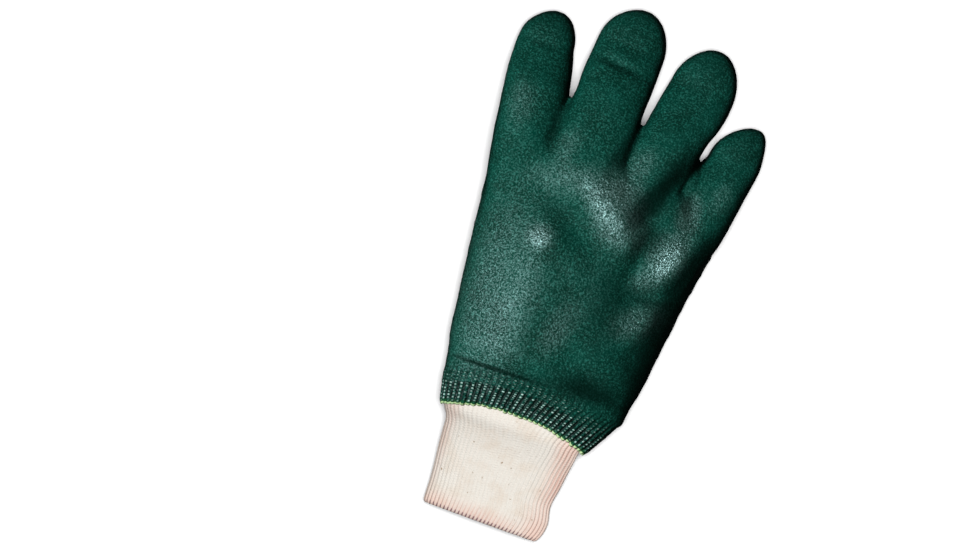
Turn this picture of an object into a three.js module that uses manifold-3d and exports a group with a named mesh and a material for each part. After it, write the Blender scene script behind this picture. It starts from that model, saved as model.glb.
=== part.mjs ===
// A right-hand work glove: a dipped shell with four fingers and a folded-under thumb,
// on a ribbed knit wrist. It lies on its palm, fingers towards +Y, back of the hand up.
// Millimetres, +Z up. In the tables y runs from the wrist's hem, and x from its middle.
import * as THREE from 'three';
import { mergeVertices } from 'three/addons/utils/BufferGeometryUtils.js';
import Module from 'manifold-3d';

const wasm = await Module();
wasm.setup();

// Walls and gaps
const HAND_WALL = 1.5; // coating on its cotton jersey
const SKIRT_WALL = 1.2; // coating over the top of the knit
const KNIT_WALL = 2.2; // two layers of rib knit

// Knit ribs
const RIB_COUNT = 66;
const COATED_RIB_DEPTH = 0.7;
const KNIT_RIB_DEPTH = 0.8;

// Levels along the glove
const SEAM_Y = 76; // where the wrist is sewn to the hand
const RIBS_START_Y = 70; // the thick second coat ends here

// Mesh fineness
const PALM_POINTS = 44;
const PALM_INNER_POINTS = 28;
const FINGER_POINTS = 18;
const FINGER_INNER_POINTS = 16;
const SKIRT_INNER_POINTS = 46;
const KNIT_INNER_POINTS = 32;
const RING_STEP = 12;
const DOME_ANGLES = [28, 53, 76];
const WELD = 0.01;

// Each row is a section across the glove: its left and right edges, the height of its
// middle, its thickness, how far its left edge stands above its right, and how far its
// middle stands above the two.
const PALM = [
  { y: 76, left: -46.2, right: 51.5, z: 18.0, thick: 34.0, rise: 2, bow: 1 },
  { y: 90, left: -49.3, right: 54.7, z: 20.8, thick: 36.4, rise: 6, bow: 5 },
  { y: 105, left: -51.3, right: 56.8, z: 25.1, thick: 32.8, rise: 9, bow: 10 },
  { y: 122, left: -53.8, right: 58.9, z: 28.3, thick: 28.9, rise: 11, bow: 13 },
  { y: 140, left: -56.2, right: 61.0, z: 29.3, thick: 26.9, rise: 12, bow: 14 },
  { y: 160, left: -58.2, right: 64.3, z: 29.2, thick: 26.6, rise: 12, bow: 14 },
  { y: 182, left: -60.6, right: 68.2, z: 28.2, thick: 25.1, rise: 12, bow: 14 },
];
const PALM_END = { y: 202, x: 4, z: 27.2, taper: 0.12 };

const DIGITS = {
  index: {
    rows: [
      { y: 148, left: -52, right: -36, z: 26.0, thick: 10 },
      { y: 172, left: -59, right: -33.5, z: 24.8, thick: 21.4 },
      { y: 190, left: -62.4, right: -30.5, z: 23.6, thick: 25.8 },
      { y: 208, left: -65.4, right: -30.1, z: 21.3, thick: 26.2 },
      { y: 224, left: -67.1, right: -30.6, z: 18.9, thick: 25.2 },
      { y: 236, left: -68.2, right: -34.6, z: 14.4, thick: 22 },
      { y: 246, left: -68.0, right: -38.2, z: 10.6, thick: 21.6 },
    ],
    tip: { y: 263.5, x: -51.5, z: 9.6 },
  },
  middle: {
    rows: [
      { y: 148, left: -24, right: -2, z: 30.5, thick: 12 },
      { y: 172, left: -30, right: 3.5, z: 30.5, thick: 20.5 },
      { y: 190, left: -32.6, right: 7.4, z: 29.8, thick: 22.8 },
      { y: 208, left: -32.8, right: 8.4, z: 28.0, thick: 23 },
      { y: 224, left: -31.5, right: 7.9, z: 24.4, thick: 23 },
      { y: 240, left: -30.6, right: 7.6, z: 18.6, thick: 22.8 },
      { y: 258, left: -28.9, right: 7.5, z: 10.8, thick: 22 },
    ],
    tip: { y: 279.5, x: -9.5, z: 9.8 },
  },
  ring: {
    rows: [
      { y: 148, left: 6, right: 26, z: 27.0, thick: 12 },
      { y: 172, left: 3.5, right: 31.5, z: 25.6, thick: 22.8 },
      { y: 190, left: 3.2, right: 37, z: 25.4, thick: 24.5 },
      { y: 208, left: 5.2, right: 41.2, z: 23.4, thick: 24.6 },
      { y: 222, left: 8.0, right: 44.7, z: 20.1, thick: 24 },
      { y: 236, left: 11.2, right: 47.9, z: 15.4, thick: 22.5 },
      { y: 250, left: 14.5, right: 49.0, z: 10.6, thick: 21.6 },
    ],
    tip: { y: 272.5, x: 33.2, z: 9.6 },
  },
  little: {
    rows: [
      { y: 140, left: 42, right: 56, z: 16.5, thick: 8 },
      { y: 160, left: 38, right: 62, z: 16.5, thick: 15 },
      { y: 178, left: 35.5, right: 67.3, z: 16.4, thick: 20 },
      { y: 194, left: 35.6, right: 69.8, z: 15.6, thick: 21 },
      { y: 208, left: 39.4, right: 72.2, z: 13.4, thick: 21 },
      { y: 220, left: 45.2, right: 74.0, z: 9.9, thick: 20.2 },
    ],
    tip: { y: 241.5, x: 66, z: 8.8 },
  },
  thumb: {
    rows: [
      { y: 78, left: -30, right: 12, z: 13.0, thick: 18 },
      { y: 94, left: -41.5, right: 12, z: 10.8, thick: 20.8 },
      { y: 110, left: -46.5, right: 10.5, z: 9.2, thick: 20 },
      { y: 126, left: -43.5, right: 11, z: 7.8, thick: 17.4 },
      { y: 145, left: -36.5, right: 12.5, z: 7.3, thick: 15.6 },
      { y: 165, left: -30.5, right: 13.6, z: 7.1, thick: 15.0 },
      { y: 183, left: -26, right: 14.4, z: 7.1, thick: 15.0 },
      { y: 195, left: -23, right: 13.6, z: 7.1, thick: 14.8 },
    ],
    tip: { y: 213.5, x: -4, z: 7.0 },
    plain: true,
  },
};

// The coated top of the wrist, from the seam to its edge. arch is how much further
// towards the fingers the edge lies at the middle than at the two sides.
const SKIRT = [
  { y: 80, left: -45.6, right: 51.0, z: 18.0, thick: 32.6, rise: 3, bow: 1, arch: 0 },
  { y: 74, left: -45.2, right: 50.2, z: 17.9, thick: 31.8, rise: 3, bow: 1, arch: 0 },
  { y: 66, left: -44.8, right: 46.8, z: 17.8, thick: 31.0, rise: 4, bow: 0.5, arch: 3 },
  { y: 58, left: -43.8, right: 42.4, z: 17.8, thick: 29.8, rise: 5, bow: 0, arch: 6 },
  { y: 51.5, left: -42.2, right: 38.4, z: 17.7, thick: 28.8, rise: 5, bow: 0, arch: 7.5 },
];

// The knit wrist: bare from its hem to the skirt's arched edge, inside the skirt above it.
const KNIT = [
  { y: 0, left: -31.5, right: 30.6, z: 6.8, thick: 13.6 },
  { y: 11, left: -32.0, right: 32.8, z: 7.6, thick: 14.8 },
  { y: 24, left: -33.2, right: 31.9, z: 9.3, thick: 16.6 },
  { y: 38, left: -34.6, right: 33.5, z: 12.3, thick: 19.0, rise: 0.8 },
  { y: 46, left: -35.6, right: 34.6, z: 14.9, thick: 21.0, rise: 2 },
  { y: 52, left: -38.0, right: 35.0, z: 17.2, thick: 22.6, rise: 4.2 },
  { y: 59, left: -40.2, right: 39.2, z: 17.7, thick: 23.8, rise: 4.9, bow: 0.1 },
  { y: 68, left: -42.1, right: 44.8, z: 17.8, thick: 26.0, rise: 3.9, bow: 0.6 },
  { y: 75.4, left: -42.7, right: 47.3, z: 17.9, thick: 26.8, rise: 3, bow: 1 },
];

// Folds and dents in the back of the hand. Each has its middle, its half length and half
// width, its turn in degrees from +X, and its height, below zero for a dent.
const FOLDS = [
  { name: 'knuckle ridge', x: 2, y: 178, along: 26, across: 9, turn: -28, height: 2.2 },
  { name: 'valley below it', x: -4, y: 158, along: 28, across: 9, turn: -32, height: -2.8 },
  { name: 'crown of the hand', x: -24, y: 147, along: 12, across: 9, turn: 0, height: 1.0 },
  { name: 'ring finger root', x: 28, y: 182, along: 9, across: 6, turn: 75, height: -3.0 },
  { name: 'side valley', x: 30, y: 158, along: 13, across: 5, turn: 78, height: -1.8 },
  { name: 'side ridge', x: 46, y: 160, along: 15, across: 6, turn: 80, height: 1.8 },
  { name: 'side crease', x: 40, y: 140, along: 14, across: 4, turn: 14, height: -1.6 },
  { name: 'lower ridge', x: 42, y: 129, along: 12, across: 6, turn: 30, height: 1.2 },
  { name: 'hollow by the seam', x: 27, y: 88, along: 14, across: 6, turn: -14, height: -1.8 },
  { name: 'middle finger crease', x: -12, y: 247, along: 14, across: 4, turn: -6, height: -1.4 },
  { name: 'index finger crease', x: -54, y: 246, along: 12, across: 4, turn: 4, height: -0.8 },
];

const SECTION_POWER = 2.4; // 2 is an ellipse, more is squarer
const TIP_POWER = 1.9;

const degrees = THREE.MathUtils.degToRad;

// The section at height y of a table, smooth between its rows.
function sectionAt(rows, y) {
  const up = rows[0].y < rows[rows.length - 1].y ? rows : [...rows].reverse();
  const last = up.length - 1;
  const i = Math.min(last - 1, Math.max(0, up.findIndex((row) => row.y > y) - 1));
  const k = y >= up[last].y ? last - 1 : i;
  const [a, b] = [up[k], up[k + 1]];
  const span = b.y - a.y;
  const f = (y - a.y) / span;
  const section = { y };
  for (const key of ['left', 'right', 'z', 'thick', 'rise', 'bow', 'arch']) {
    const value = (row) => row[key] ?? 0;
    const slope = (j) => {
      const before = up[Math.max(0, j - 1)];
      const after = up[Math.min(last, j + 1)];
      return (value(after) - value(before)) / (after.y - before.y);
    };
    const [m0, m1] = [slope(k) * span, slope(k + 1) * span];
    section[key] =
      (2 * f ** 3 - 3 * f ** 2 + 1) * value(a) +
      (f ** 3 - 2 * f ** 2 + f) * m0 +
      (3 * f ** 2 - 2 * f ** 3) * value(b) +
      (f ** 3 - f ** 2) * m1;
  }
  return section;
}

function insetSection(section, wall) {
  return {
    ...section,
    left: section.left + wall,
    right: section.right - wall,
    thick: section.thick - 2 * wall,
  };
}

// The height that the folds add at a point of the back.
function foldHeight(x, y) {
  return FOLDS.reduce((sum, fold) => {
    const turn = degrees(fold.turn);
    const [dx, dy] = [x - fold.x, y - fold.y];
    const u = (dx * Math.cos(turn) + dy * Math.sin(turn)) / fold.along;
    const v = (dy * Math.cos(turn) - dx * Math.sin(turn)) / fold.across;
    return sum + fold.height * Math.exp(-(u * u + v * v));
  }, 0);
}

// A ring of evenly spaced points round a section, starting at its right edge.
// ribs gives how far the ring stands out or in at each point.
function ringOf(section, count, ribs = () => 0) {
  const half = (section.right - section.left) / 2;
  const middle = (section.right + section.left) / 2;
  const power = (v) => Math.sign(v) * Math.abs(v) ** (2 / SECTION_POWER);
  const fine = 720;
  const outline = [];
  for (let i = 0; i <= fine; i++) {
    const angle = (2 * Math.PI * i) / fine;
    const [t, s] = [power(Math.cos(angle)), power(Math.sin(angle))];
    const mid = section.z - (section.rise / 2) * t - section.bow * t * t;
    const x = middle + half * t;
    const y = section.y + section.arch * (1 - t * t);
    const fold = section.plain ? 0 : Math.max(0, s) * foldHeight(x, y);
    outline.push(new THREE.Vector3(x, y, mid + (section.thick / 2) * s + fold));
  }
  const lengths = [0];
  for (let i = 1; i <= fine; i++) {
    lengths.push(lengths[i - 1] + outline[i].distanceTo(outline[i - 1]));
  }
  const ring = [];
  let i = 0;
  for (let k = 0; k < count; k++) {
    const wanted = (lengths[fine] * k) / count;
    while (lengths[i + 1] < wanted) i++;
    const share = (wanted - lengths[i]) / (lengths[i + 1] - lengths[i]);
    const point = outline[i].clone().lerp(outline[i + 1], share);
    const along = outline[i + 1].clone().sub(outline[i]);
    const outward = new THREE.Vector3(along.z, 0, -along.x).normalize();
    ring.push(point.addScaledVector(outward, ribs(k)));
  }
  return ring;
}

// A solid through rings of equal point counts, closed by a fan at each end. apex is the
// point of the last fan, and is otherwise the middle of the last ring.
function solidThrough(rings, apex) {
  const count = rings[0].length;
  const positions = rings.flat().flatMap((p) => [p.x, p.y, p.z]);
  const faces = [];
  for (let r = 0; r < rings.length - 1; r++) {
    const [a, b] = [r * count, (r + 1) * count];
    for (let k = 0; k < count; k++) {
      const next = (k + 1) % count;
      faces.push(a + k, b + k, a + next, a + next, b + k, b + next);
    }
  }
  for (const r of [0, rings.length - 1]) {
    const middle = new THREE.Vector3();
    rings[r].forEach((p) => middle.addScaledVector(p, 1 / count));
    const c = positions.length / 3;
    positions.push(...(r > 0 && apex ? apex : middle));
    for (let k = 0; k < count; k++) {
      const edge = [r * count + k, r * count + ((k + 1) % count)];
      faces.push(c, ...(r === 0 ? edge : edge.reverse()));
    }
  }
  const geometry = new THREE.BufferGeometry();
  geometry.setAttribute('position', new THREE.Float32BufferAttribute(positions, 3));
  geometry.setIndex(faces);
  return manifoldOf(geometry);
}

function manifoldOf(geometry) {
  const bare = geometry.clone();
  bare.deleteAttribute('normal');
  bare.deleteAttribute('uv');
  const merged = mergeVertices(bare, 1e-4);
  const solid = new wasm.Manifold(
    new wasm.Mesh({
      numProp: 3,
      vertProperties: new Float32Array(merged.attributes.position.array),
      triVerts: new Uint32Array(merged.index.array),
    }),
  );
  return solid;
}

// The solid's surface with its points on a fine grid, without the faces that this closes up.
function geometryOf(solid) {
  const mesh = solid.getMesh();
  const snapped = mesh.vertProperties.map((v) => Math.round(v / WELD) * WELD);
  const loose = new THREE.BufferGeometry();
  loose.setAttribute('position', new THREE.BufferAttribute(snapped, 3));
  loose.setIndex(new THREE.BufferAttribute(mesh.triVerts, 1));
  const merged = mergeVertices(loose, WELD / 4);
  const corners = merged.index.array;
  const kept = new Map();
  for (let i = 0; i < corners.length; i += 3) {
    const face = [...corners.slice(i, i + 3)];
    const key = [...face].sort((a, b) => a - b).join(' ');
    if (new Set(face).size < 3) continue;
    if (!kept.delete(key)) kept.set(key, face);
  }
  merged.setIndex([...kept.values()].flat());
  merged.computeVertexNormals();
  return merged;
}

// A palm or digit: rings up its table from startY, then a rounded end up to its tip.
// A plain one has no folds.
function limb({ rows, tip, plain }, count, wall, startY = rows[0].y) {
  const topRow = rows[rows.length - 1];
  const sectionOf = (y) => ({ ...insetSection(sectionAt(rows, y), wall), plain });
  const steps = Math.max(2, Math.round((topRow.y - startY) / RING_STEP));
  const rings = [];
  for (let i = 0; i <= steps; i++) {
    const y = startY + ((topRow.y - startY) * i) / steps;
    rings.push(ringOf(sectionOf(y), count));
  }
  const base = sectionOf(topRow.y);
  const middle = (base.left + base.right) / 2;
  const half = (base.right - base.left) / 2;
  const reach = tip.y - wall - topRow.y;
  for (const angle of DOME_ANGLES) {
    const rise = Math.sin(degrees(angle));
    const width = (1 - rise ** TIP_POWER) ** (1 / TIP_POWER);
    const side = tip.taper === undefined ? width : 1 - tip.taper * (1 - width);
    const x = middle + (tip.x - middle) * rise ** 2;
    rings.push(
      ringOf(
        {
          ...base,
          y: topRow.y + reach * rise,
          left: x - half * side,
          right: x + half * side,
          z: base.z + (tip.z - base.z) * rise ** 2,
          thick: base.thick * width,
        },
        count,
      ),
    );
  }
  return solidThrough(rings, new THREE.Vector3(tip.x, topRow.y + reach, tip.z));
}

// A block that keeps only what lies above a level.
function keepAbove(solid, level) {
  const block = new THREE.BoxGeometry(400, 800, 100);
  block.translate(0, 0, level - 50);
  return solid.subtract(manifoldOf(block));
}

const ribWave = (depth) => (k) => (k % 2 ? -depth / 2 : depth / 2);

// The coated skirt over the knit, with the ribs showing through below the second coat.
function skirtSolids() {
  const points = RIB_COUNT * 2;
  const ys = [51.5, 60, RIBS_START_Y, 79];
  const outer = ys.map((y) => {
    const depth = y < RIBS_START_Y ? COATED_RIB_DEPTH : COATED_RIB_DEPTH / 4;
    return ringOf(sectionAt(SKIRT, y), points, ribWave(depth));
  });
  const inner = ys.map((y) =>
    ringOf(insetSection(sectionAt(SKIRT, y), SKIRT_WALL), SKIRT_INNER_POINTS),
  );
  const pastTheEdge = inner[0].map((p) => new THREE.Vector3(p.x, p.y - 5, p.z));
  return [solidThrough(outer), solidThrough([pastTheEdge, ...inner])];
}

// The dipped shell: palm, digits and skirt joined, less the same shapes one wall smaller.
function coatedShell() {
  const [skirt, skirtHollow] = skirtSolids();
  const palm = { rows: PALM, tip: PALM_END };
  let outside = skirt.add(limb(palm, PALM_POINTS, 0));
  let hollow = limb(palm, PALM_INNER_POINTS, HAND_WALL, SEAM_Y + 1);
  for (const digit of Object.values(DIGITS)) {
    outside = outside.add(limb(digit, FINGER_POINTS, 0));
    hollow = hollow.add(limb(digit, FINGER_INNER_POINTS, HAND_WALL));
  }
  return keepAbove(outside, 0).subtract(keepAbove(hollow, HAND_WALL)).subtract(skirtHollow);
}

// The knit wrist, a tube of ribs with a plain inside, open at both ends.
function knitWrist() {
  const outer = KNIT.map((row) =>
    ringOf(sectionAt(KNIT, row.y), RIB_COUNT * 2, ribWave(KNIT_RIB_DEPTH)),
  );
  const inner = KNIT.map((row) =>
    ringOf(insetSection(sectionAt(KNIT, row.y), KNIT_WALL), KNIT_INNER_POINTS),
  );
  const moved = (ring, shift) => ring.map((p) => new THREE.Vector3(p.x, p.y + shift, p.z));
  const hollow = [moved(inner[0], -2), ...inner, moved(inner[inner.length - 1], 2)];
  return keepAbove(solidThrough(outer), 0).subtract(solidThrough(hollow));
}

function named(name, solid, material) {
  const mesh = new THREE.Mesh(geometryOf(solid), material);
  mesh.name = name;
  return mesh;
}

const coating = new THREE.MeshStandardMaterial({ color: 0x0f4a38, roughness: 0.45 });
const cotton = new THREE.MeshStandardMaterial({ color: 0xe8ddd0, roughness: 0.95 });

const glove = new THREE.Group();
glove.add(named('coated_shell', coatedShell(), coating));
glove.add(named('knit_wrist', knitWrist(), cotton));

// The origin is on the surface it lies on, under the middle of its outline.
const size = new THREE.Box3().setFromObject(glove);
const centre = size.getCenter(new THREE.Vector3());
glove.position.set(-centre.x, -centre.y, -size.min.z);

export default glove;
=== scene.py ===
"""A right-hand PVC coated work glove that lies palm down: a dipped shell on a ribbed knit wrist.

Tables are in millimetres: y runs from the wrist's hem to the fingertips, x from the wrist's
middle towards the little finger, and z up from the surface that the glove lies on.
"""
import math

import bmesh
import bpy
import numpy as np
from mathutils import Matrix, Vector, noise


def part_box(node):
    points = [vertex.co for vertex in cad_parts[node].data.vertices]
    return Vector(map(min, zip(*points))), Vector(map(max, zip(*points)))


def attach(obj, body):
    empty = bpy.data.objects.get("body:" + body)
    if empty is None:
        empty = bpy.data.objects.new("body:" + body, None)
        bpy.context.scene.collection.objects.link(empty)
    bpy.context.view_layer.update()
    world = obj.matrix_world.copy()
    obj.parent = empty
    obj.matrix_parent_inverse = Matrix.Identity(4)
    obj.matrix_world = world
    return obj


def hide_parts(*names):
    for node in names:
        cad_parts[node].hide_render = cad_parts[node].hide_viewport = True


MM = 0.001

# Walls
HAND_WALL = 1.5
SKIRT_WALL = 1.1  # the skirt of coating over the knit
RIM_WALL = 0.45  # the skirt's edge
KNIT_WALL = 2.2

# Ribs of the knit, and how they show through the coating
RIB_COUNT = 66
POINTS_PER_RIB = 6
KNIT_RIB_DEPTH = 0.85
KNIT_RIB_LOSS = 0.55  # the share of that depth lost where the knit lies stretched flat
HIDDEN_RIB_LOSS = 0.7  # the same under the coating
RIB_POWER = 0.8  # below 1 it makes broad crests and narrow grooves
COATED_RIB_DEPTH = 1.1
FAINT_RIB_SHARE = 0.38  # of that depth, above the strong ribs
SEAM_DEPTH = 0.5
SEAM_WIDTH = 0.7
STITCH_PITCH = 1.7
COURSE_PITCH = 1.25

# The skirt from its edge on: where things fade, by how far past the edge they are
STRONG_RIBS_FADE = (11.2, 13.2)
FAINT_RIBS_FADE = (16, 22)
RIDGE_RISE = (9.8, 12)
RIDGE_FALL = (16, 21)
RIDGE_HEIGHT = 0.35
EDGE_DIP = 0.8  # how much lower the edge lies
EDGE_DIP_FADE = (0, 2.6)
TOOTH_LENGTH = 0.55  # how far a rib's crest juts out at the edge
TOOTH_FADE = (0, 3.5)

# Places on the glove
RIM_Y = 51.5  # the coating's edge, at the two sides
BAND_TOP_Y = 80.0
HAND_START_Y = 81.5
SEAM_Y = 77.6
HEM_LEVELS = (0, 0.3, 0.8, 1.5)  # rings that round the hem
RIBBED_LEVELS = (2.6, 75.4)  # the first and the last of the other rings of the knit
OUTERMOST_X = -68.1  # the index finger's left side
THUMB_SPACE = {"left": -48, "right": 16, "end": 216, "top": 16}  # under the hand

# Fineness
LIMB_POINTS = 40
RING_STEP = 4.0
VOXEL = 1.6
BAND_ROWS = 38
KNIT_ROWS = 50
SKIN_SMOOTHING = 6  # passes over the whole hand
BACK_SMOOTHING = 40  # more passes, where the limbs melt into the back

# Roundness: sections are a little squarer than an ellipse, and tips a little more pointed
SECTION_POWER = 2.4
TIP_POWER = 1.9
DOME_ANGLES = (12, 24, 36, 48, 59, 69, 78, 85)

# How the coating's painted shade and its gloss change over the hand
PAINTED_LIGHT_WAY = (-0.25, -0.2, 0.95)  # the coating darkens as it turns away from here
PLAIN_SHEEN = 0.14
MOST_SHEEN = 2.0
SPOT_SHARPNESS = 1.5

# Grain of the surfaces: grains and patches to the metre, and depths in metres
PVC_GRAINS = 1050.0
JERSEY_GRAINS = 900.0
KNIT_GRAINS = 1500.0
PVC_PATCHES = 60.0
KNIT_PATCHES = 110.0
PVC_DIMPLES = 0.0015
PVC_GRAIN_DEPTH = 0.0007
STITCH_DEPTH = 0.0007
FIBRE_DEPTH = 0.0003
COURSE_DEPTH = 0.00008

# Colours of the coating
DEEP_GREEN = (0.0004, 0.027, 0.017, 1)
FRESH_GREEN = (0.0010, 0.047, 0.032, 1)
GRAIN_GREEN = (0.007, 0.135, 0.098, 1)
# Painted shade in the grooves between the ribs
GROOVE_PAINTED_SHADE = (0.0003, 0.004, 0.002, 1)
# Painted shade where the coating turns away from the light, and in its hollows and creases
PAINTED_SHADE_GREEN = (0.0004, 0.008, 0.005, 1)
EDGE_GREEN = (0.003, 0.075, 0.014, 1)
SOAKED_EDGE = (0.80, 0.72, 0.36, 1)
# Painted glints on the stitches
STITCH_PAINTED_GLINT = (0.74, 0.74, 0.66, 1)
# A painted highlight where the coating is glossy
PAINTED_HIGHLIGHT_GREY = (0.22, 0.25, 0.24, 1)

# Colours of the cotton
JERSEY_DARK = (0.50, 0.45, 0.36, 1)
JERSEY_LIGHT = (0.72, 0.67, 0.57, 1)
CREAM_DARK = (0.57, 0.535, 0.48, 1)
CREAM_LIGHT = (0.70, 0.67, 0.615, 1)
BLOTCH = (0.56, 0.47, 0.38, 1)
# Painted shade at the knit's sides and hem
PAINTED_SHADE_PINK = (0.64, 0.46, 0.39, 1)
# Painted shade in the knit's rib grooves
RIB_GROOVE_SHADE = (0.46, 0.27, 0.22, 1)
FLECK = (0.30, 0.22, 0.15, 1)
HEM_THREAD = (0.22, 0.12, 0.13, 1)

# The studio, in metres. The photograph looks straight down, with the glove turned from upright.
CAMERA_HEIGHT = 2.6
PICTURE_WIDTH = 0.5105
SENSOR_WIDTH = 36
GLOVE_TURN = 20
PICTURE_MIDDLE = (-39.9, 122.3)  # in the tables' millimetres
LAMPS = {
    "window": {"place": (-0.86, -0.47, 1.69), "size": 0.5, "power": 50, "tint": (0.62, 1, 1)},
    "overhead": {"place": (0, 0, 1.8), "size": 0.8, "power": 46, "tint": (1, 1, 1)},
}
LAMP_AIM = (0, 0, 0.02)
AIR_LIGHT = 0.07
FLOOR_SIZE = 6
FLOOR_GREY = (0.9, 0.9, 0.9, 1)


def table(names, *rows):
    """Rows of values as dictionaries, by the columns' names."""
    return [dict(zip(names.split(), row)) for row in rows]


# Each row is a section: its left and right edges, the height of its middle, its thickness,
# how far its left edge stands above its right, and its middle above the two.
PALM = table(
    "y left right z thick rise bow",
    (76, -46.2, 51.5, 18.0, 34.0, 2, 1),
    (90, -49.3, 54.7, 20.8, 36.4, 6, 5),
    (105, -51.3, 56.8, 25.1, 32.8, 9, 10),
    (122, -53.8, 58.9, 28.3, 28.9, 11, 13),
    (140, -56.2, 61.0, 29.3, 26.9, 12, 14),
    (160, -58.2, 64.3, 29.2, 26.6, 12, 14),
    (182, -60.6, 68.2, 28.2, 25.1, 12, 14),
)
PALM_END = {"y": 202, "x": 4, "z": 27.2, "taper": 0.12}

DIGIT_COLUMNS = "y left right z thick"
DIGITS = {
    "index": (
        table(
            DIGIT_COLUMNS,
            (148, -52, -36, 26.0, 10),
            (172, -59, -33.5, 24.8, 21.4),
            (190, -62.4, -31.0, 23.6, 25.8),
            (208, -65.3, -31.4, 21.3, 26.2),
            (224, -67.1, -33.1, 18.9, 25.2),
            (236, -68.2, -35.2, 14.4, 22),
            (246, -68.0, -38.2, 10.6, 21.6),
        ),
        {"y": 263.5, "x": -51.5, "z": 9.6},
    ),
    "middle": (
        table(
            DIGIT_COLUMNS,
            (148, -24, -2, 30.5, 12),
            (172, -30, 3.5, 30.5, 20.5),
            (190, -33.0, 7.4, 29.8, 22.8),
            (208, -32.4, 7.6, 28.0, 23),
            (224, -30.3, 6.5, 24.4, 23),
            (240, -30.3, 7.2, 18.6, 22.8),
            (258, -28.9, 7.5, 10.8, 22),
        ),
        {"y": 279.5, "x": -9.5, "z": 9.8},
    ),
    "ring": (
        table(
            DIGIT_COLUMNS,
            (148, 6, 26, 27.0, 12),
            (172, 3.5, 31.5, 25.6, 22.8),
            (190, 3.2, 37, 25.4, 24.5),
            (208, 6.2, 40.6, 23.4, 24.6),
            (222, 9.3, 43.0, 20.1, 24),
            (236, 11.8, 47.2, 15.4, 22.5),
            (250, 14.5, 49.0, 10.6, 21.6),
        ),
        {"y": 272.5, "x": 33.2, "z": 9.6},
    ),
    "little": (
        table(
            DIGIT_COLUMNS,
            (140, 42, 56, 16.5, 8),
            (160, 38, 62, 16.5, 15),
            (178, 35.5, 67.3, 16.4, 20),
            (194, 35.6, 69.8, 15.6, 21),
            (208, 39.4, 72.2, 13.4, 21),
            (220, 46.2, 74.0, 9.9, 20.2),
        ),
        {"y": 241.5, "x": 66, "z": 8.8},
    ),
    "thumb": (
        table(
            DIGIT_COLUMNS,
            (78, -30, 12, 13.0, 18),
            (94, -41.5, 12, 10.8, 20.8),
            (110, -46.5, 10.5, 9.2, 20),
            (126, -43.5, 11, 7.8, 17.4),
            (145, -36.5, 12.5, 7.3, 15.6),
            (165, -30.5, 13.6, 7.1, 15.0),
            (183, -26, 14.4, 7.1, 15.0),
            (195, -23, 13.6, 7.1, 14.8),
        ),
        {"y": 213.5, "x": -4, "z": 7.0},
    ),
    "web beside the little finger": (
        table(DIGIT_COLUMNS, (180, 30, 44, 17, 12), (200, 35, 46.5, 18.5, 17)),
        {"y": 214, "x": 42, "z": 17},
    ),
}

# The coated band over the top of the knit. arch is how much further towards the fingers
# a section lies at its middle than at its two sides.
BAND = table(
    "y left right z thick rise bow arch",
    (80, -47.0, 52.4, 18.9, 34.3, 3.2, 2, 0),
    (76, -46.2, 51.9, 18.1, 33.7, 3, 1, 0),
    (72.5, -45.6, 51.4, 17.9, 32.4, 3.2, 1, 1),
    (70, -45.0, 49.2, 17.9, 31.6, 3.5, 0.8, 2),
    (66, -44.4, 46.8, 17.8, 30.8, 4, 0.5, 3),
    (58, -42.8, 42.4, 17.8, 29.4, 5, 0, 6),
    (51.5, -41.4, 38.4, 17.7, 28.2, 5, 0, 7.5),
)

# The knit wrist, from its hem up inside the coated band.
KNIT = table(
    "y left right z thick rise bow",
    (0, -31.5, 30.2, 6.8, 13.6, 0, 0),
    (5, -31.8, 32.3, 7.1, 14.2, 0, 0),
    (11, -32.0, 33.0, 7.6, 14.8, 0, 0),
    (20, -32.7, 31.2, 8.8, 16.0, 0, 0),
    (30, -33.9, 32.6, 10.4, 17.8, 0, 0),
    (38, -34.6, 33.5, 12.3, 19.0, 0.8, 0),
    (46, -35.4, 34.6, 14.9, 21.6, 2, 0),
    (52, -38.6, 35.4, 17.2, 24.0, 4.2, 0),
    (59, -40.4, 39.4, 17.7, 25.0, 4.9, 0.1),
    (68, -42.1, 44.8, 17.8, 26.2, 3.9, 0.6),
    (75.4, -42.7, 47.3, 17.9, 26.9, 3, 1),
)

# Folds and dents in the back of the hand: middle, half length, half width, turn in degrees
# from +X, and height, below zero for a dent.
FOLDS = table(
    "x y along across turn height",
    (3, 178, 28, 9, -28, 2.4),
    (-4, 159, 28, 8, -32, -3.2),
    (-21, 145, 12, 8, 60, 2.2),
    (-25, 150, 6, 4.5, 30, 1.0),
    (17, 168, 9, 6, -35, 1.2),
    (-20, 114, 30, 11, 92, 1.3),
    (12, 112, 34, 13, 96, -2.4),
    (26, 182, 8, 7, 60, -3.0),
    (33, 194, 17, 4.5, 65, -3.6),
    (31, 160, 15, 5, 80, -3.0),
    (51, 162, 19, 9, 78, 7.6),
    (42, 140, 14, 4, 14, -2.6),
    (47, 127, 15, 9, 60, 4.6),
    (27, 88, 14, 6, -14, -1.8),
    (-12, 247, 13, 2.8, -6, -1.9),
    (-54, 245, 11, 2.4, 4, -0.5),
)

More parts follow.
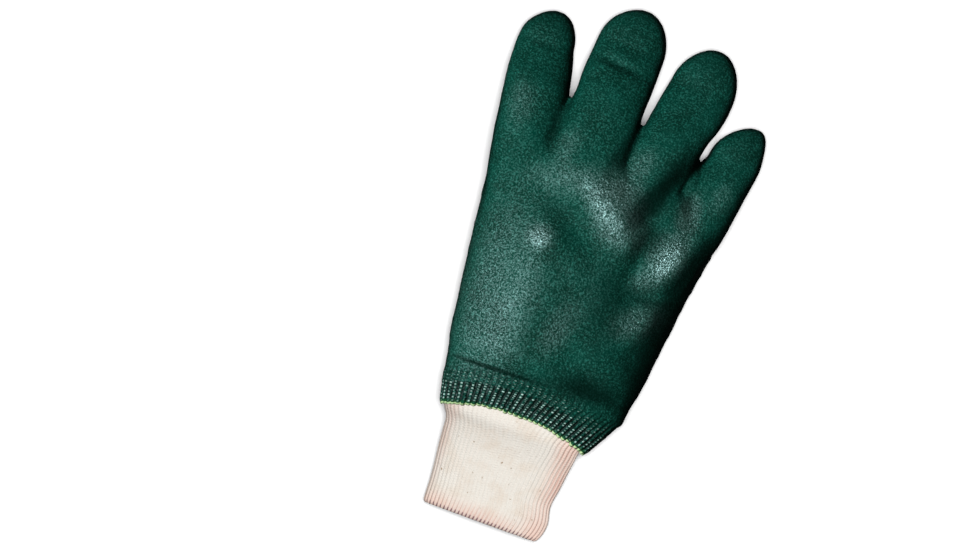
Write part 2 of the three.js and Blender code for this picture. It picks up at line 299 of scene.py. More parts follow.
# Where the coating's back is glossier, with a painted highlight in its colour there, and where
# painted shade darkens it: the same columns as the folds, with a share for the height.
SHEEN = table(
    "x y along across turn share",
    (6, 182, 16, 10, -15, 1.6),
    (15, 169, 14, 10, -20, 1.4),
    (-20, 182, 19, 8, 12, 0.35),
    (-25, 198, 10, 6, 80, 0.3),
    (-22, 150, 6.5, 6, 0, 1.6),
    (-35, 114, 44, 21, 92, 0.52),
    (-20, 110, 34, 9, 88, 0.2),
    (3, 108, 14, 7, 80, 0.6),
    (46, 161, 9, 6, 75, 1.6),
    (44, 163, 19, 8, 72, 0.9),
    (38, 147, 9, 6, 40, 0.5),
    (46, 186, 10, 5.5, 90, 1.2),
    (11, 191, 11, 6, -35, 0.5),
    (41, 126, 14, 8, 45, 0.9),
    (15, 203, 8, 6, 75, 0.4),
    (60, 200, 9, 5, 80, 0.4),
    (-55, 211, 12, 7, 100, 0.3),
    (-5, 60, 44, 9, 0, 0.15),
    (-24, 89, 15, 5, 8, 0.2),
    (8, 173, 11, 7, -20, 0.4),
    (5, 132, 20, 14, 90, 0.12),
)
# Spots of painted shade: in hollows, grooves and creases, along the seam and over the fingertips.
PAINTED_SHADE_SPOTS = table(
    "x y along across turn share",
    (26, 185, 9, 8, 70, 1.0),
    (32, 202, 18, 6.5, 70, 1.0),
    (35, 167, 8, 4, 75, 0.6),
    (-18, 165, 12, 6, -20, 0.3),
    (24, 126, 24, 12, 100, 0.6),
    (30, 85, 20, 8, 0, 0.75),
    (-34, 207, 15, 3.5, 92, 0.8),
    (3, 205, 14, 4.5, 76, 0.8),
    (-52, 257, 14, 11, 100, 0.3),
    (-12, 269, 16, 12, 90, 0.2),
    (31, 263, 15, 11, 80, 0.2),
    (66, 234, 12, 9, 75, 0.2),
    (-20, 77.8, 24, 1.2, 2, 1.3),
    (24, 81, 26, 6, 3, 0.35),
    (-14, 246, 14, 1.7, -6, 0.6),
    (-57, 244, 9, 1.6, 3, 0.25),
)


def frame_place(points):
    """Points in the tables' millimetres, as metres in the frame."""
    return (np.asarray(points, float) + TABLE_ORIGIN) * MM


# Shapes of sections


def section_at(rows, y):
    """The section at a level of a table, smooth between its rows."""
    up = sorted(rows, key=lambda row: row["y"])
    last = len(up) - 1
    k = min(last - 1, max(0, sum(row["y"] <= y for row in up) - 1))
    low, high = up[k], up[k + 1]
    span = high["y"] - low["y"]
    f = (y - low["y"]) / span
    section = {"y": y}
    for name in ("left", "right", "z", "thick", "rise", "bow", "arch"):
        section[name] = (
            (2 * f**3 - 3 * f**2 + 1) * low.get(name, 0)
            + (f**3 - 2 * f**2 + f) * slope_at(up, k, name) * span
            + (3 * f**2 - 2 * f**3) * high.get(name, 0)
            + (f**3 - f**2) * slope_at(up, k + 1, name) * span
        )
    return section


def slope_at(up, k, name):
    """How fast a column changes with y at a row, from the rows beside it."""
    before, after = up[max(0, k - 1)], up[min(len(up) - 1, k + 1)]
    return (after.get(name, 0) - before.get(name, 0)) / (after["y"] - before["y"])


def ring_of(section, count):
    """Evenly spaced points round a section from its right edge, and the way out at each."""
    angle = np.linspace(0, 2 * math.pi, 721)
    t = np.sign(np.cos(angle)) * np.abs(np.cos(angle)) ** (2 / SECTION_POWER)
    s = np.sign(np.sin(angle)) * np.abs(np.sin(angle)) ** (2 / SECTION_POWER)
    half = (section["right"] - section["left"]) / 2
    x = (section["right"] + section["left"]) / 2 + half * t
    y = section["y"] + section["arch"] * (1 - t * t)
    z = section["z"] - section["rise"] / 2 * t - section["bow"] * t * t + section["thick"] / 2 * s
    line = np.stack([x, y, z], 1)
    steps = np.linalg.norm(np.diff(line[:, [0, 2]], axis=0), axis=1)
    length = np.concatenate([[0], np.cumsum(steps)])
    wanted = np.arange(count) / count * length[-1]
    ring = np.stack([np.interp(wanted, length, line[:, i]) for i in range(3)], 1)
    ahead = np.roll(ring, -1, 0) - np.roll(ring, 1, 0)
    out = np.stack([ahead[:, 2], np.zeros(count), -ahead[:, 0]], 1)
    return ring, out / np.linalg.norm(out, axis=1)[:, None]


def limb_rings(rows, tip):
    """Rings up the table of the palm or a digit, then a rounded end up to its tip."""
    low, high = rows[0]["y"], rows[-1]["y"]
    steps = max(2, round((high - low) / RING_STEP))
    sections = [section_at(rows, low + (high - low) * i / steps) for i in range(steps + 1)]
    base = sections[-1]
    middle = (base["left"] + base["right"]) / 2
    half = (base["right"] - base["left"]) / 2
    for angle in DOME_ANGLES:
        rise = math.sin(math.radians(angle))
        width = (1 - rise**TIP_POWER) ** (1 / TIP_POWER)
        side = 1 - tip["taper"] * (1 - width) if "taper" in tip else width
        x = middle + (tip["x"] - middle) * rise**2
        end = dict(base)
        end["y"] = high + (tip["y"] - high) * rise
        end["left"], end["right"] = x - half * side, x + half * side
        end["z"] = base["z"] + (tip["z"] - base["z"]) * rise**2
        end["thick"] = base["thick"] * width
        sections.append(end)
    return [ring_of(section, LIMB_POINTS)[0] for section in sections]


# Work in Blender


def take(piece):
    """Makes a piece the only selected and active object."""
    bpy.ops.object.select_all(action="DESELECT")
    piece.select_set(True)
    bpy.context.view_layer.objects.active = piece


def finish_with(piece, kind, **settings):
    """Adds a modifier to a piece and applies it."""
    take(piece)
    modifier = piece.modifiers.new(kind.lower(), kind)
    for name, value in settings.items():
        setattr(modifier, name, value)
    bpy.ops.object.modifier_apply(modifier=modifier.name)


def smooth(piece):
    """Shades a piece as one smooth surface."""
    take(piece)
    bpy.ops.object.shade_smooth()


def places_of(piece):
    """A mesh's points in the tables' millimetres."""
    flat = np.empty(len(piece.data.vertices) * 3, np.float32)
    piece.data.vertices.foreach_get("co", flat)
    return flat.reshape(-1, 3).astype(float) / MM - TABLE_ORIGIN


def paint_group(piece, name, share):
    """A vertex group with a share for each point, in steps of a tenth."""
    group = piece.vertex_groups.new(name=name)
    steps = np.round(share, 1)
    for level in np.unique(steps):
        group.add(np.flatnonzero(steps == level).tolist(), level, "REPLACE")


def write_values(piece, name, values):
    """A named value for each point of a mesh, for its material."""
    layer = piece.data.attributes.new(name, "FLOAT", "POINT")
    layer.data.foreach_set("value", values.astype(np.float32))


def ways_out_of(piece):
    """A mesh's normals at its points."""
    flat = np.empty(len(piece.data.vertices) * 3, np.float32)
    piece.data.vertices.foreach_get("normal", flat)
    return flat.reshape(-1, 3).astype(float)


def set_places(piece, points):
    """Moves a mesh's points to places in the tables' millimetres."""
    piece.data.vertices.foreach_set("co", frame_place(points).astype(np.float32).ravel())
    piece.data.update()


def extruded_through(name, rings):
    """A closed form: a round face, extruded from ring to ring."""
    bpy.ops.object.select_all(action="DESELECT")
    bpy.ops.mesh.primitive_circle_add(vertices=len(rings[0]), radius=0.01, fill_type="NGON")
    form = bpy.context.object
    form.name = name
    bpy.ops.object.mode_set(mode="EDIT")
    for i, ring in enumerate(rings):
        if i > 0:
            bpy.ops.mesh.extrude_region_move()
        mesh = bmesh.from_edit_mesh(form.data)
        end = next(face for face in mesh.faces if face.select)
        for corner, place in zip(end.verts, frame_place(ring)):
            corner.co = place
        bmesh.update_edit_mesh(form.data)
    bpy.ops.mesh.select_all(action="SELECT")
    bpy.ops.mesh.normals_make_consistent(inside=False)
    bpy.ops.object.mode_set(mode="OBJECT")
    return form


def wrapped_tube(name, rings):
    """An open tube: a grid with a column for each point round, wrapped through the rings.

    In its UV map U counts the ribs, and V runs from the first ring to the last.
    """
    count = len(rings[0])
    bpy.ops.object.select_all(action="DESELECT")
    bpy.ops.mesh.primitive_grid_add(x_subdivisions=count, y_subdivisions=len(rings) - 1, size=1)
    tube = bpy.context.object
    tube.name = name
    closed = [np.concatenate([ring, ring[:1]]) for ring in rings]
    set_places(tube, np.concatenate(closed))
    bpy.ops.object.mode_set(mode="EDIT")
    bpy.ops.mesh.select_all(action="SELECT")
    bpy.ops.mesh.remove_doubles(threshold=0.01 * MM)
    bpy.ops.mesh.normals_make_consistent(inside=False)
    bpy.ops.object.mode_set(mode="OBJECT")
    uv = tube.data.uv_layers.active.data
    flat = np.empty(len(uv) * 2, np.float32)
    uv.foreach_get("uv", flat)
    uv.foreach_set("uv", (flat.reshape(-1, 2) * (RIB_COUNT, 1)).ravel())
    return tube


def blended(low, high, value):
    """0 below low, 1 above high and smooth between them, or 1 to 0 where low is the greater."""
    f = np.clip((value - low) / (high - low), 0, 1)
    return f * f * (3 - 2 * f)


def bumpiness(points, size, seed):
    """Smooth unevenness between about -1 and 1, with humps of that size."""
    shift = Vector((seed * 17.3, seed * 5.1, seed * 9.7))
    return np.array([noise.noise(Vector(point) / size + shift) for point in points])


def rib_profile(phase):
    """1 on the crest of a rib, 0 in the groove between two."""
    return np.abs(np.cos(math.pi * phase)) ** RIB_POWER


# The coated band and the hand


def band_rings():
    """Rings from the coating's edge to the seam, with the ribs that show through the coating."""
    count = RIB_COUNT * POINTS_PER_RIB
    rib = np.arange(count) / POINTS_PER_RIB
    number = np.round(rib).astype(int) % RIB_COUNT
    draw = np.random.default_rng(7)
    tooth = draw.uniform(-0.45, 0.45, RIB_COUNT)[number]
    stoutness = draw.uniform(0.75, 1.2, RIB_COUNT)[number]
    crest = rib_profile(rib)
    rings = []
    for i in range(BAND_ROWS + 1):
        y = RIM_Y + (BAND_TOP_Y - RIM_Y) * i / BAND_ROWS
        ring, out = ring_of(section_at(BAND, y), count)
        edge, _ = ring_of(section_at(BAND, RIM_Y), count)
        past_rim = ring[:, 1] - edge[:, 1]
        ribbed = blended(-0.5, 1.2, past_rim) * (1 - blended(*STRONG_RIBS_FADE, past_rim))
        faint = FAINT_RIB_SHARE * (1 - blended(*FAINT_RIBS_FADE, past_rim))
        depth = COATED_RIB_DEPTH * np.maximum(ribbed, faint)
        lift = depth * (crest * stoutness - 0.55)
        ridge = blended(*RIDGE_RISE, past_rim) * (1 - blended(*RIDGE_FALL, past_rim))
        lift += RIDGE_HEIGHT * ridge
        lift -= EDGE_DIP * (1 - blended(*EDGE_DIP_FADE, past_rim))
        seam = blended(-0.2, 0.3, out[:, 2]) * (1 - 0.8 * blended(-5, 25, ring[:, 0]))
        lift -= SEAM_DEPTH * seam * np.exp(-(((ring[:, 1] - SEAM_Y) / SEAM_WIDTH) ** 2))
        ring = ring + out * lift[:, None]
        near_rim = 1 - blended(*TOOTH_FADE, past_rim)
        ring[:, 1] -= near_rim * (TOOTH_LENGTH * crest + tooth)
        ring[:, 2] = np.maximum(ring[:, 2], 0)
        rings.append(ring)
    return rings


def sum_of_spots(rows, column, points, sharpness=1):
    """The sum of a table's soft oval spots at points of the back."""
    total = np.zeros(len(points))
    for row in rows:
        turn = math.radians(row["turn"])
        dx, dy = points[:, 0] - row["x"], points[:, 1] - row["y"]
        u = (dx * math.cos(turn) + dy * math.sin(turn)) / row["along"]
        v = (dy * math.cos(turn) - dx * math.sin(turn)) / row["across"]
        total += row[column] * np.exp(-((u * u + v * v) ** sharpness))
    return total


def joined(name, pieces):
    """Several pieces as one."""
    take(pieces[0])
    for piece in pieces:
        piece.select_set(True)
    bpy.ops.object.join()
    whole = bpy.context.object
    whole.name = name
    return whole


def on_thumb(points):
    """1 for points of the thumb under the hand, 0 for the others."""
    x, y, z = points.T
    beside = (x > THUMB_SPACE["left"]) * (x < THUMB_SPACE["right"])
    return beside * (y < THUMB_SPACE["end"]) * (z < THUMB_SPACE["top"])


def dipped_hand():
    """Palm, fingers and thumb as one skin, cut open just above the band."""
    limbs = [extruded_through("palm", limb_rings(PALM, PALM_END))]
    for name, (rows, tip) in DIGITS.items():
        limbs.append(extruded_through(name, limb_rings(rows, tip)))
    hand = joined("hand", limbs)
    finish_with(hand, "REMESH", mode="VOXEL", voxel_size=VOXEL * MM)
    finish_with(hand, "SMOOTH", factor=0.5, iterations=SKIN_SMOOTHING)
    points, out = places_of(hand), ways_out_of(hand)
    back = blended(0.1, 0.5, out[:, 2]) * (1 - blended(178, 196, points[:, 1]))
    # The roots of the ring and little fingers keep their shape.
    back *= 1 - 0.8 * blended(16, 26, points[:, 0]) * blended(168, 178, points[:, 1])
    paint_group(hand, "back", back)
    finish_with(hand, "SMOOTH", factor=0.5, iterations=BACK_SMOOTHING, vertex_group="back")
    hand.vertex_groups.clear()
    points, out = places_of(hand), ways_out_of(hand)
    upward = blended(-0.1, 0.7, out[:, 2])
    points[:, 2] += upward * sum_of_spots(FOLDS, "height", points) * (1 - on_thumb(points))
    lift = 0.35 * bumpiness(points, 22, 1) + 0.2 * bumpiness(points, 8, 2) + 0.15
    lift *= blended(HAND_START_Y, HAND_START_Y + 6, points[:, 1])
    points += out * lift[:, None]
    points[:, 2] = np.maximum(points[:, 2], 0)
    set_places(hand, points)
    take(hand)
    bpy.ops.object.mode_set(mode="EDIT")
    bpy.ops.mesh.select_all(action="SELECT")
    cut = frame_place([0, HAND_START_Y, 0])
    bpy.ops.mesh.bisect(plane_co=cut, plane_no=(0, 1, 0), clear_inner=True)
    bpy.ops.object.mode_set(mode="OBJECT")
    return hand


def past_rim_at(points):
    """How far points lie past the coating's arched edge, towards the fingers."""
    edge = section_at(BAND, RIM_Y)
    half = (edge["right"] - edge["left"]) / 2
    t = np.clip((points[:, 0] - (edge["right"] + edge["left"]) / 2) / half, -1, 1)
    return points[:, 1] - (edge["y"] + edge["arch"] * (1 - t * t))


def bridge_at_seam(shell):
    """Joins the open end of the hand to the open end of the band."""
    take(shell)
    bpy.ops.object.mode_set(mode="EDIT")
    bpy.ops.mesh.select_mode(type="EDGE")
    bpy.ops.mesh.select_all(action="DESELECT")
    mesh = bmesh.from_edit_mesh(shell.data)
    low = frame_place([0, BAND_TOP_Y - 1, 0])[1]
    high = frame_place([0, HAND_START_Y + 1, 0])[1]
    for edge in mesh.edges:
        if edge.is_boundary and all(low < end.co.y < high for end in edge.verts):
            edge.select_set(True)
    bmesh.update_edit_mesh(shell.data)
    bpy.ops.mesh.bridge_edge_loops()
    bpy.ops.mesh.select_mode(type="VERT")
    bpy.ops.mesh.select_all(action="SELECT")
    bpy.ops.mesh.normals_make_consistent(inside=False)
    bpy.ops.object.mode_set(mode="OBJECT")


def give_wall(shell):
    """The coating and its lining: thin at the edge, thicker over the skirt and the hand."""
    past_rim = past_rim_at(places_of(shell))
    wall = np.interp(past_rim, [0, 3, 22, 30], [RIM_WALL, SKIRT_WALL, SKIRT_WALL, HAND_WALL])
    paint_group(shell, "wall", wall / HAND_WALL)
    shell.data.materials.append(green_pvc())
    shell.data.materials.append(cotton_jersey())
    finish_with(
        shell, "SOLIDIFY", thickness=HAND_WALL * MM, offset=-1, vertex_group="wall",
        material_offset=1, use_even_offset=False,
    )
    shell.vertex_groups.clear()


def write_painted_shade_and_gloss(shell):
    """The values that the coating's material reads at each point."""
    points, out = places_of(shell), ways_out_of(shell)
    write_values(shell, "past_rim", past_rim_at(points))
    back = blended(-0.2, 0.4, out[:, 2])
    # The painted shade starts further round on the fingers than on the hand.
    fingers = blended(200, 225, points[:, 1])
    # Painted shade in the colour: darker as the surface turns away from the light's way, and in
    # the spots of painted shade on the back.
    painted_shade = blended(0.85 - 0.19 * fingers, 0.47 - 0.27 * fingers, out @ PAINTED_LIGHT_WAY)
    painted_shade = np.maximum(painted_shade, back * sum_of_spots(PAINTED_SHADE_SPOTS, "share", points, SPOT_SHARPNESS))
    write_values(shell, "painted_shade", painted_shade.clip(0, 1))
    # The gloss, which also brings a painted highlight into the colour.
    sheen = PLAIN_SHEEN + back * sum_of_spots(SHEEN, "share", points, SPOT_SHARPNESS)
    write_values(shell, "sheen", sheen.clip(0, MOST_SHEEN))


def coated_shell():
    """The dipped shell: the hand and its ribbed band, bridged and given a wall."""
    band = wrapped_tube("band", band_rings())
    shell = joined("coated_shell_piece", [dipped_hand(), band])
    bridge_at_seam(shell)
    give_wall(shell)
    write_painted_shade_and_gloss(shell)
    smooth(shell)
    return shell


# The knit wrist


def knit_rings():
    """Rings up the knit wrist, round at its hem, with its ribs."""
    count = RIB_COUNT * POINTS_PER_RIB
    rib = np.arange(count) / POINTS_PER_RIB
    draw = np.random.default_rng(11)
    stoutness = draw.uniform(0.8, 1.15, RIB_COUNT)[np.round(rib).astype(int) % RIB_COUNT]
    rings = []
    for y in np.concatenate([HEM_LEVELS, np.linspace(*RIBBED_LEVELS, KNIT_ROWS)]):
        ring, out = ring_of(section_at(KNIT, y), count)
        # The ribs don't run quite straight, and lie flatter on the back above the hem.
        wander = 0.16 * math.sin(y / 9 + 1) * np.sin(ring[:, 0] / 13)
        hidden = HIDDEN_RIB_LOSS * blended(56, 62, y)
        flat = blended(0.6, 0.95, out[:, 2]) * blended(2, 12, y) * blended(24, 8, ring[:, 0])
        depth = KNIT_RIB_DEPTH * (1 - hidden) * (1 - KNIT_RIB_LOSS * flat)
        lift = depth * (rib_profile(rib + wander) * stoutness - 0.5)
        lift -= max(0, 1 - y / HEM_LEVELS[-1]) ** 2
        ring = ring + out * lift[:, None]
        ring[:, 2] = np.maximum(ring[:, 2], 0)
        rings.append(ring)
    return rings


def knit_wrist():
    """The knit wrist: a ribbed tube with a wall, open at both ends."""
    knit = wrapped_tube("knit_wrist_piece", knit_rings())
    knit.data.materials.append(rib_knit())
    finish_with(knit, "SOLIDIFY", thickness=KNIT_WALL * MM, offset=-1)
    points = places_of(knit)
    # Painted shade: most at the knit's right side, half as much at its left, and towards its hem,
    # unevenly.
    right = blended(18, 34, points[:, 0] + 0.25 * (30 - points[:, 1]).clip(0, 30))
    left = 0.5 * blended(-27, -34, points[:, 0])
    hem = 0.75 * blended(12, 0, points[:, 1])
    knit_shade_share = np.maximum(np.maximum(right, left), hem) * (0.8 + 0.5 * bumpiness(points, 16, 4))
    write_values(knit, "knit_painted_shade", knit_shade_share.clip(0, 1))
    smooth(knit)
    return knit


# Materials


def feed(tree, socket, value):
    """Sets a socket to a value, or links another node's output to it."""
    if isinstance(value, bpy.types.NodeSocket):
        tree.links.new(value, socket)
    else:
        socket.default_value = value


def add_node(tree, kind, inputs=None, **settings):
    """A node with its settings and its inputs, each a value or another node's output."""
    node = tree.nodes.new(kind)
    for name, value in settings.items():
        setattr(node, name, value)
    for name, value in (inputs or {}).items():
        feed(tree, node.inputs[name], value)
    return node


def worked(tree, operation, *values, clamp=False):
    """The result of a calculation with one, two or three values."""
    node = add_node(tree, "ShaderNodeMath", operation=operation, use_clamp=clamp)
    for socket, value in zip(node.inputs, values):
        feed(tree, socket, value)
    return node.outputs[0]


def mixed(tree, factor, low, high):
    """A colour between two, by a factor."""
    node = add_node(tree, "ShaderNodeMix", data_type="RGBA")
    for socket, value in ((node.inputs[0], factor), (node.inputs[6], low), (node.inputs[7], high)):
        feed(tree, socket, value)
    return node.outputs[2]


def ramped(tree, value, low, high, to_low=0.0, to_high=1.0):
    """A value mapped from one range to another, and held at its ends.

    Where low is the greater, the first range runs downwards.
    """
    node = add_node(
        tree, "ShaderNodeMapRange",
        {"Value": value, "From Min": low, "From Max": high, "To Min": to_low, "To Max": to_high},
    )
    return node.outputs["Result"]


def bumped(tree, height, distance, over=None):
    """The normals of a bumpy surface, over another bump's where one is given."""
    inputs = {"Height": height, "Distance": distance}
    if over is not None:
        inputs["Normal"] = over
    return add_node(tree, "ShaderNodeBump", inputs).outputs["Normal"]


def written(tree, name):
    """A value that was written to the mesh's points."""
    return add_node(tree, "ShaderNodeAttribute", attribute_name=name).outputs["Fac"]


def new_group(name, inputs, outputs):
    """An empty shader node group with named inputs and outputs."""
    tree = bpy.data.node_groups.new(name, "ShaderNodeTree")
    for label, kind, value in inputs:
        socket = tree.interface.new_socket(label, in_out="INPUT", socket_type=f"NodeSocket{kind}")
        if value is not None:
            socket.default_value = value
    for label in outputs:
        tree.interface.new_socket(label, in_out="OUTPUT", socket_type="NodeSocketFloat")
    return tree, tree.nodes.new("NodeGroupInput").outputs, tree.nodes.new("NodeGroupOutput").inputs


def new_material(name, **plain):
    """A material with a Principled BSDF, and the values set on the shader itself."""
    material = bpy.data.materials.new(name)
    material.use_nodes = True
    shader = material.node_tree.nodes["Principled BSDF"]
    for label, value in plain.items():
        shader.inputs[label.replace("_", " ")].default_value = value
    return material, material.node_tree, shader


def grain_group():
    """Fine rounded grains, with an uneven tone over them."""
    if "grain" in bpy.data.node_groups:
        return bpy.data.node_groups["grain"]
    tree, given, result = new_group(
        "grain",
        [
            ("Place", "Vector", None),
            ("Grains", "Float", PVC_GRAINS),
            ("Patches", "Float", PVC_PATCHES),
        ],
        ("Height", "Tone"),
    )
    feed(tree, result["Height"], fine_grains(tree, given["Place"], given["Grains"]))
    broad = add_node(
        tree, "ShaderNodeTexNoise",
        {"Vector": given["Place"], "Scale": given["Patches"], "Detail": 3.0, "Roughness": 0.55},
    )
    feed(tree, result["Tone"], broad.outputs["Fac"])
    return tree


def fine_grains(tree, place, count):
    """The height of fine rounded grains, so many to the metre."""
    grains = add_node(
        tree, "ShaderNodeTexNoise",
        {"Vector": place, "Scale": count, "Detail": 2.0, "Roughness": 0.6},
    )
    return grains.outputs["Fac"]


def grained(tree, place, **inputs):
    """The height and the tone of the grain group, with a material's own values."""
    node = add_node(tree, "ShaderNodeGroup", node_tree=grain_group())
    for label, value in {"Place": place, **inputs}.items():
        feed(tree, node.inputs[label], value)
    return node.outputs["Height"], node.outputs["Tone"]


def rib_crests(tree, uv):
    """The two parts of a UV map that counts ribs, and 1 on each rib's crest, 0 in each groove."""
    parts = add_node(tree, "ShaderNodeSeparateXYZ", {"Vector": uv}).outputs
    phase = worked(tree, "MULTIPLY", parts["X"], math.pi)
    return parts["X"], parts["Y"], worked(tree, "ABSOLUTE", worked(tree, "COSINE", phase))


def chance_of(tree, number):
    """A random value between 0 and 1 for each whole number."""
    return add_node(
        tree, "ShaderNodeTexWhiteNoise", {"W": number}, noise_dimensions="1D",
    ).outputs["Value"]


def beat(tree, turn):
    """A wave between 0 and 1."""
    return worked(tree, "MULTIPLY_ADD", worked(tree, "COSINE", turn), 0.5, 0.5)


def coated_rib_group():
    """Ribs and stitches that show through the coating, and its soaked edge.

    U counts the ribs and V runs from the edge to the seam.
    """
    tree, given, result = new_group(
        "coated ribs",
        [("UV", "Vector", None), ("Past rim", "Float", 0.0)],
        ("Height", "Groove shade", "Stitch glint", "Near rim", "Rim"),
    )
    across, along, crest = rib_crests(tree, given["UV"])
    row = worked(tree, "MULTIPLY", along, BAND_TOP_Y - RIM_Y)
    past_rim = given["Past rim"]
    strong = worked(
        tree, "MULTIPLY", ramped(tree, past_rim, 0.4, 1.6), ramped(tree, past_rim, 13.5, 11.5),
    )
    ribbed = worked(tree, "MAXIMUM", strong, ramped(tree, past_rim, 23, 17, 0.0, 0.5))
    chance = chance_of(tree, worked(tree, "ROUND", across))
    pace = 2 * math.pi / STITCH_PITCH
    turn = worked(
        tree, "MULTIPLY_ADD", row, ramped(tree, chance, 0, 1, 0.7 * pace, 1.2 * pace),
        worked(tree, "MULTIPLY", chance, 40),
    )
    on_crest = ramped(tree, crest, 0.55, 0.95)
    stitch = worked(tree, "MULTIPLY", worked(tree, "MULTIPLY", beat(tree, turn), on_crest), ribbed)
    spread = add_node(tree, "ShaderNodeMapping", {"Vector": given["UV"], "Scale": (0.8, 9.0, 1.0)})
    patchy = add_node(tree, "ShaderNodeTexNoise", {"Vector": spread.outputs[0], "Scale": 1.0})
    shown = ramped(tree, patchy.outputs["Fac"], 0.4, 0.62)
    # Painted shade: where the grooves between the ribs are darkened.
    groove_shade = worked(tree, "MULTIPLY", ramped(tree, crest, 0.85, 0.4), ribbed)
    # The hand's UV is 0 all over, as at the edge, so the edge's colours stop well before the hand.
    hand = ramped(tree, past_rim, 10.0, 12.0)
    near_rim = worked(tree, "SUBTRACT", ramped(tree, row, 2.6, 0.9), hand, clamp=True)
    rim = worked(tree, "SUBTRACT", ramped(tree, row, 1.1, 0.75), hand, clamp=True)
    feed(tree, result["Height"], stitch)
    feed(tree, result["Groove shade"], groove_shade)
    # Painted glints: where the stitches on the crests are lightened, in patches.
    feed(tree, result["Stitch glint"], worked(tree, "MULTIPLY", ramped(tree, stitch, 0.3, 0.7), shown))
    feed(tree, result["Near rim"], near_rim)
    feed(tree, result["Rim"], rim)
    return tree


def knit_group():
    """The ribs and courses of the bare knit. U counts the ribs and V runs up from the hem."""
    tree, given, result = new_group(
        "rib knit",
        [("UV", "Vector", None), ("Place", "Vector", None)],
        ("Height", "Groove shade", "Hem dots", "Fleck"),
    )
    across, along, crest = rib_crests(tree, given["UV"])
    row = worked(tree, "MULTIPLY", along, KNIT[-1]["y"])
    chance = chance_of(tree, worked(tree, "ROUND", worked(tree, "MULTIPLY", across, 2.0)))
    turn = worked(
        tree, "ADD", worked(tree, "MULTIPLY", row, 2 * math.pi / COURSE_PITCH),
        worked(tree, "MULTIPLY", chance, 2 * math.pi),
    )
    at_hem = ramped(tree, row, 5.2, 4.4)
    fleck = add_node(tree, "ShaderNodeTexNoise", {"Vector": given["Place"], "Scale": 420.0})
    feed(tree, result["Height"], beat(tree, turn))
    # The groove mask, for painted shade.
    feed(tree, result["Groove shade"], ramped(tree, crest, 0.55, 0.1))
    feed(tree, result["Hem dots"], worked(tree, "MULTIPLY", ramped(tree, crest, 0.7, 0.4), at_hem))
    feed(tree, result["Fleck"], ramped(tree, fleck.outputs["Fac"], 0.70, 0.76))
    return tree


def green_pvc():
    """Dark green PVC with a sandy grain, shiny in places, and the ribs under it at the wrist."""
    material, tree, shader = new_material("green_pvc", IOR=1.5, Specular_IOR_Level=0.3)
    coordinates = add_node(tree, "ShaderNodeTexCoord").outputs
    height, tone = grained(tree, coordinates["Object"])
    ribs = add_node(tree, "ShaderNodeGroup", node_tree=coated_rib_group())
    feed(tree, ribs.inputs["UV"], coordinates["UV"])
    feed(tree, ribs.inputs["Past rim"], written(tree, "past_rim"))
    painted_shade, sheen = written(tree, "painted_shade"), written(tree, "sheen")

    green = mixed(tree, ramped(tree, tone, 0.35, 0.65), DEEP_GREEN, FRESH_GREEN)
    specked = mixed(tree, ramped(tree, height, 0.5, 0.72), green, GRAIN_GREEN)
    # Painted shade in the grooves between the ribs.
    coat_groove_shade_mixed = mixed(tree, ribs.outputs["Groove shade"], specked, GROOVE_PAINTED_SHADE)
    # Painted glints on the stitches.
    glint_mixed = mixed(tree, ribs.outputs["Stitch glint"], coat_groove_shade_mixed, STITCH_PAINTED_GLINT)
    bright_edge = mixed(tree, ribs.outputs["Near rim"], glint_mixed, EDGE_GREEN)
    edged = mixed(tree, ribs.outputs["Rim"], bright_edge, SOAKED_EDGE)
    # Painted shade, as written at the points.
    painted_shade_mixed = mixed(tree, worked(tree, "MULTIPLY", painted_shade, 0.87), edged, PAINTED_SHADE_GREEN)
    # A painted highlight: a grey haze in the colour where the coating is glossy, most on the
    # grains' tops.
    painted_highlight = worked(tree, "MULTIPLY", sheen, ramped(tree, height, 0.4, 0.64, 0.02, 0.14))
    feed(tree, shader.inputs["Base Color"], mixed(tree, painted_highlight, painted_shade_mixed, PAINTED_HIGHLIGHT_GREY))

    # The gloss reads its own grains, because a group's output doesn't feed this socket.
    glints = ramped(
        tree, fine_grains(tree, coordinates["Object"], PVC_GRAINS), 0.38, 0.66, 0.1, 1.95,
    )
    unshaded = worked(tree, "MULTIPLY", sheen, ramped(tree, painted_shade, 0.2, 1.0, 1.0, 0.05))
    feed(tree, shader.inputs["Specular IOR Level"], worked(tree, "MULTIPLY", unshaded, glints))
    rough = worked(
        tree, "MULTIPLY",
        ramped(tree, height, 0.3, 0.75, 1.15, 0.8), ramped(tree, sheen, 0.1, 1.2, 0.5, 0.34),
    )
    feed(tree, shader.inputs["Roughness"], rough)

    dimples = bumped(tree, tone, PVC_DIMPLES)
    grains = bumped(tree, height, PVC_GRAIN_DEPTH, over=dimples)
    stitches = bumped(tree, ribs.outputs["Height"], STITCH_DEPTH, over=grains)
    feed(tree, shader.inputs["Normal"], stitches)
    return material


def cotton_jersey():
    """The plain cotton lining inside the shell."""
    material, tree, shader = new_material("cotton_jersey", Roughness=0.95)
    place = add_node(tree, "ShaderNodeTexCoord").outputs["Object"]
    height, _ = grained(tree, place, Grains=JERSEY_GRAINS)
    feed(tree, shader.inputs["Base Color"], mixed(tree, height, JERSEY_DARK, JERSEY_LIGHT))
    feed(tree, shader.inputs["Normal"], bumped(tree, height, FIBRE_DEPTH))
    return material


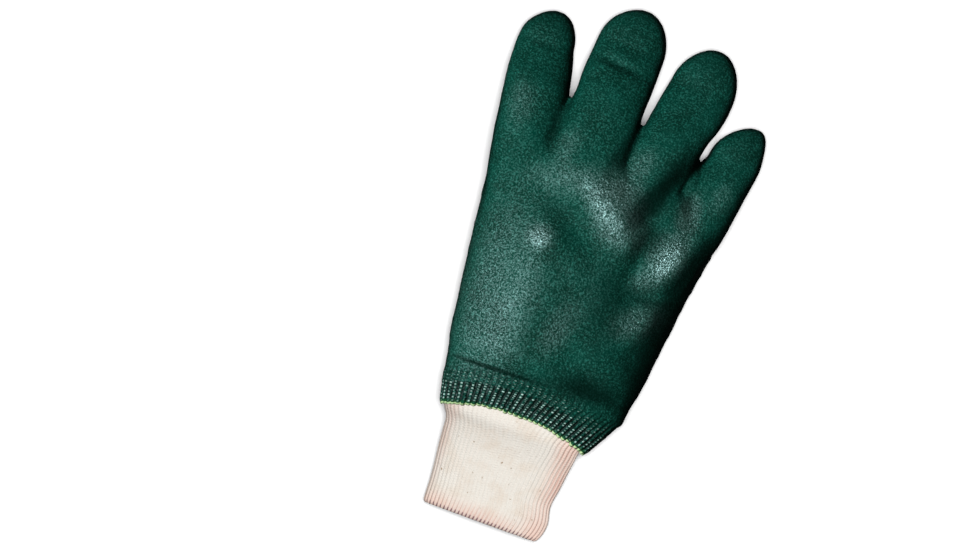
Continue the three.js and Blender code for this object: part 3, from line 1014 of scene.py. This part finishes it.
def rib_knit():
    """Cream cotton rib knit, with a warm painted shade at its right side and its hem."""
    material, tree, shader = new_material("rib_knit_cotton", Roughness=0.95)
    coordinates = add_node(tree, "ShaderNodeTexCoord").outputs
    height, tone = grained(
        tree, coordinates["Object"], Grains=KNIT_GRAINS, Patches=KNIT_PATCHES,
    )
    knit = add_node(tree, "ShaderNodeGroup", node_tree=knit_group())
    feed(tree, knit.inputs["UV"], coordinates["UV"])
    feed(tree, knit.inputs["Place"], coordinates["Object"])
    knit_painted_shade = written(tree, "knit_painted_shade")

    cream = mixed(tree, height, CREAM_DARK, CREAM_LIGHT)
    mottled = mixed(tree, ramped(tree, tone, 0.46, 0.7, 0.0, 0.45), cream, BLOTCH)
    # Painted shade, warm pink, at the knit's sides and hem.
    knit_shade_mixed = mixed(tree, knit_painted_shade, mottled, PAINTED_SHADE_PINK)
    # Painted shade in the rib grooves, stronger where the knit's painted shade is.
    groove_shade_share = worked(
        tree, "MULTIPLY", knit.outputs["Groove shade"], ramped(tree, knit_painted_shade, 0.1, 0.8, 0.08, 1.0),
    )
    knit_groove_shade_mixed = mixed(tree, groove_shade_share, knit_shade_mixed, RIB_GROOVE_SHADE)
    flecked = mixed(tree, knit.outputs["Fleck"], knit_groove_shade_mixed, FLECK)
    hemmed = mixed(tree, knit.outputs["Hem dots"], flecked, HEM_THREAD)
    feed(tree, shader.inputs["Base Color"], hemmed)

    fibres = bumped(tree, height, FIBRE_DEPTH)
    courses = bumped(tree, knit.outputs["Height"], COURSE_DEPTH, over=fibres)
    feed(tree, shader.inputs["Normal"], courses)
    return material


# The studio


def floor():
    """A plain pale floor."""
    bpy.ops.object.select_all(action="DESELECT")
    bpy.ops.mesh.primitive_plane_add(size=FLOOR_SIZE)
    plane = bpy.context.object
    plane.name = "studio_floor"
    material, _, shader = new_material("pale_floor", Roughness=0.9, Specular_IOR_Level=0.1)
    shader.inputs["Base Color"].default_value = FLOOR_GREY
    plane.data.materials.append(material)
    plane.visible_glossy = False
    plane.visible_diffuse = False
    return plane


def soft_light(name, lit):
    """A round lamp that lights only the things that it is given."""
    values = LAMPS[name]
    light = bpy.data.lights.new(name, "AREA")
    light.shape = "DISK"
    light.size = values["size"]
    light.energy = values["power"]
    light.color = values["tint"]
    lamp = bpy.data.objects.new(name, light)
    bpy.context.scene.collection.objects.link(lamp)
    lamp.location = values["place"]
    lamp.rotation_euler = (Vector(LAMP_AIM) - lamp.location).to_track_quat("-Z", "Y").to_euler()
    reached = bpy.data.collections.new(f"lit by {name}")
    for thing in lit:
        reached.objects.link(thing)
    lamp.light_linking.receiver_collection = reached


def studio(shell, knit):
    """The floor, two soft lamps, a little light from all round, and the camera."""
    scene = bpy.context.scene
    scene.view_settings.view_transform = "Standard"
    scene.world = bpy.data.worlds.new("studio_air")
    scene.world.use_nodes = True
    air = scene.world.node_tree.nodes["Background"]
    air.inputs["Color"].default_value = (1, 1, 1, 1)
    air.inputs["Strength"].default_value = AIR_LIGHT
    soft_light("window", [shell])
    soft_light("overhead", [floor(), knit])
    data = bpy.data.cameras.new("camera")
    data.sensor_width = SENSOR_WIDTH
    data.lens = SENSOR_WIDTH * CAMERA_HEIGHT / PICTURE_WIDTH
    camera = bpy.data.objects.new("camera", data)
    scene.collection.objects.link(camera)
    x, y, _ = frame_place([*PICTURE_MIDDLE, 0])
    camera.location = (x, y, CAMERA_HEIGHT)
    camera.rotation_euler = (0, 0, math.radians(GLOVE_TURN))
    scene.camera = camera


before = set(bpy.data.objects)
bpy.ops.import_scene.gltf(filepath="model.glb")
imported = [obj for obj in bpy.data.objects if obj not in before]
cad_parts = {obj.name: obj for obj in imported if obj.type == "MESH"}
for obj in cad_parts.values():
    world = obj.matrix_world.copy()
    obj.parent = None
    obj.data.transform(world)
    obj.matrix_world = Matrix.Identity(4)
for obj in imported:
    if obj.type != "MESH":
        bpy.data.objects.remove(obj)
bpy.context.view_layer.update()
TABLE_ORIGIN = np.array(
    [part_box("coated_shell")[0].x / MM - OUTERMOST_X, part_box("knit_wrist")[0].y / MM, 0]
)

shell = coated_shell()
knit = knit_wrist()
studio(shell, knit)
for piece, node, finish in (
    (shell, "coated_shell", "pvc_coating"),
    (knit, "knit_wrist", "rib_knit"),
):
    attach(piece, "root")
    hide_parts(node)
